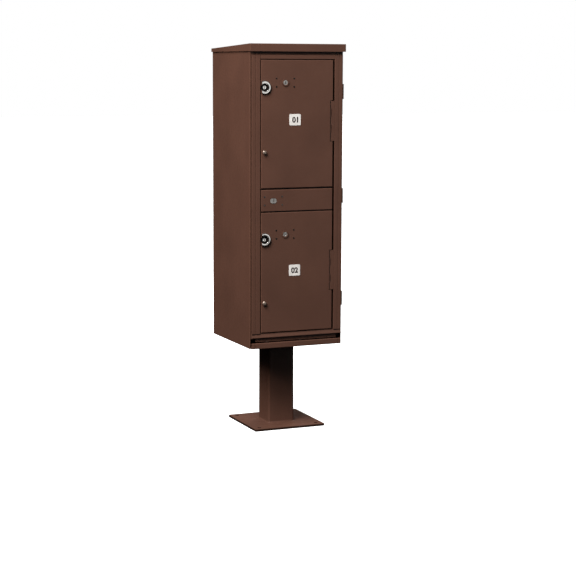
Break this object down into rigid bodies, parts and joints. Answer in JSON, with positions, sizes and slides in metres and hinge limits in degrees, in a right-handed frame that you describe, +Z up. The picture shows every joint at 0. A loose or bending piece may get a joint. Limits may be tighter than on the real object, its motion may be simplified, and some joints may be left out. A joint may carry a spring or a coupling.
{
  "type": "pedestal parcel locker",
  "caption": "Outdoor parcel locker on a square pedestal: a sheet cabinet with a sloped roof, a swinging master door and stacked parcel doors with key locks.",
  "frame": {"origin": "centre of the base plate's underside, on the ground", "axes": "+X to the right seen from the front, +Y to the back, +Z up"},
  "size_m": [0.415, 0.4441, 1.575],
  "materials": {
    "brown_coat": "brown textured powder coat on aluminium sheet",
    "inside_coat": "the same powder coat, thinner, inside the cabinet",
    "zinc_steel": "zinc-plated steel",
    "chrome": "polished chrome",
    "black_fittings": "blackened steel",
    "rubber": "black foam rubber",
    "number_plate": "white engraved plastic",
    "knob_metal": "satin metal knob"
  },
  "bodies": {
    "cabinet": {"base_plate": "brown_coat", "pedestal_tube": "brown_coat", "pedestal_flange": "brown_coat", "pedestal_bolts": "zinc_steel", "pedestal_nuts": "zinc_steel", "floor_pan": "inside_coat", "front_sill": "brown_coat", "left_side_panel": "brown_coat", "right_side_panel": "brown_coat", "back_panel": "brown_coat", "bottom_flange": "brown_coat", "header_flange": "brown_coat", "ceiling_panel": "inside_coat", "roof_cap": "brown_coat", "roof_screws": "zinc_steel", "lower_floor": "inside_coat", "lower_ceiling": "inside_coat", "upper_floor": "inside_coat", "door_seal": "rubber", "strike_plate": "zinc_steel", "master_hinge_fixed_leaves": "zinc_steel", "master_hinge_pins": "zinc_steel"},
    "master_door": {"left_stile": "brown_coat", "right_stile": "brown_coat", "top_rail": "brown_coat", "bottom_rail": "brown_coat", "crossbars": "brown_coat", "lock_panel": "brown_coat", "master_hinge_door_leaves": "zinc_steel", "parcel_hinge_frame_leaves": "brown_coat", "parcel_hinge_pins": "zinc_steel", "arrow_lock_case": "zinc_steel", "arrow_lock_studs": "black_fittings", "door_bumpers": "rubber"},
    "upper_door": {"upper_door_panel": "brown_coat", "upper_stiffener": "inside_coat", "upper_hinge_leaf": "zinc_steel", "upper_lock_collar": "chrome", "upper_lock_body": "black_fittings", "upper_control_case": "brown_coat", "upper_control_studs": "black_fittings", "upper_number_plate": "number_plate", "upper_pull_knob": "knob_metal"},
    "lower_door": {"lower_door_panel": "brown_coat", "lower_stiffener": "inside_coat", "lower_hinge_leaf": "zinc_steel", "lower_lock_collar": "chrome", "lower_lock_body": "black_fittings", "lower_control_case": "brown_coat", "lower_control_studs": "black_fittings", "lower_number_plate": "number_plate", "lower_pull_knob": "knob_metal"},
    "upper_customer_lock": {"upper_lock_plug": "chrome"},
    "lower_customer_lock": {"lower_lock_plug": "chrome"},
    "upper_control_lock": {"upper_control_plug": "zinc_steel"},
    "lower_control_lock": {"lower_control_plug": "zinc_steel"},
    "upper_trap": {"upper_trap_bolt": "zinc_steel"},
    "lower_trap": {"lower_trap_bolt": "zinc_steel"},
    "arrow_lock": {"arrow_plug": "zinc_steel"},
    "latch": {"latch_bar": "zinc_steel"}
  },
  "joints": [
    {"name": "master_door_swing", "type": "hinge", "parent": "cabinet", "child": "master_door", "pos_m": [0.2014, -0.2122, 0.9655], "axis": [0, 0, 1], "range_deg": [0, 110]},
    {"name": "upper_door_swing", "type": "hinge", "parent": "master_door", "child": "upper_door", "pos_m": [0.1465, -0.2164, 1.2685], "axis": [0, 0, 1], "range_deg": [0, 110]},
    {"name": "upper_customer_lock_turn", "type": "hinge", "parent": "upper_door", "child": "upper_customer_lock", "pos_m": [-0.1445, -0.219, 1.403], "axis": [0, 1, 0], "range_deg": [0, 90]},
    {"name": "upper_control_lock_turn", "type": "hinge", "parent": "upper_door", "child": "upper_control_lock", "pos_m": [-0.054, -0.219, 1.422], "axis": [0, 1, 0], "range_deg": [0, 90]},
    {"name": "upper_trap_lift", "type": "slide", "parent": "upper_door", "child": "upper_trap", "axis": [0, 0, 1], "range_m": [0, 0.012]},
    {"name": "lower_door_swing", "type": "hinge", "parent": "master_door", "child": "lower_door", "pos_m": [0.1465, -0.2164, 0.6635], "axis": [0, 0, 1], "range_deg": [0, 110]},
    {"name": "lower_customer_lock_turn", "type": "hinge", "parent": "lower_door", "child": "lower_customer_lock", "pos_m": [-0.1445, -0.219, 0.798], "axis": [0, 1, 0], "range_deg": [0, 90]},
    {"name": "lower_control_lock_turn", "type": "hinge", "parent": "lower_door", "child": "lower_control_lock", "pos_m": [-0.054, -0.219, 0.817], "axis": [0, 1, 0], "range_deg": [0, 90]},
    {"name": "lower_trap_lift", "type": "slide", "parent": "lower_door", "child": "lower_trap", "axis": [0, 0, 1], "range_m": [0, 0.012]},
    {"name": "arrow_lock_turn", "type": "hinge", "parent": "master_door", "child": "arrow_lock", "pos_m": [-0.105, -0.219, 0.953], "axis": [0, -1, 0], "range_deg": [0, 90]},
    {"name": "latch_throw", "type": "slide", "parent": "master_door", "child": "latch", "axis": [-1, 0, 0], "range_m": [0, 0.014]}
  ],
  "couplings": [
    {"joint": "upper_control_lock_turn", "follows": "upper_trap_lift", "rad_per_m": 130.89},
    {"joint": "lower_control_lock_turn", "follows": "lower_trap_lift", "rad_per_m": 130.89},
    {"joint": "arrow_lock_turn", "follows": "latch_throw", "rad_per_m": 112.19}
  ]
}
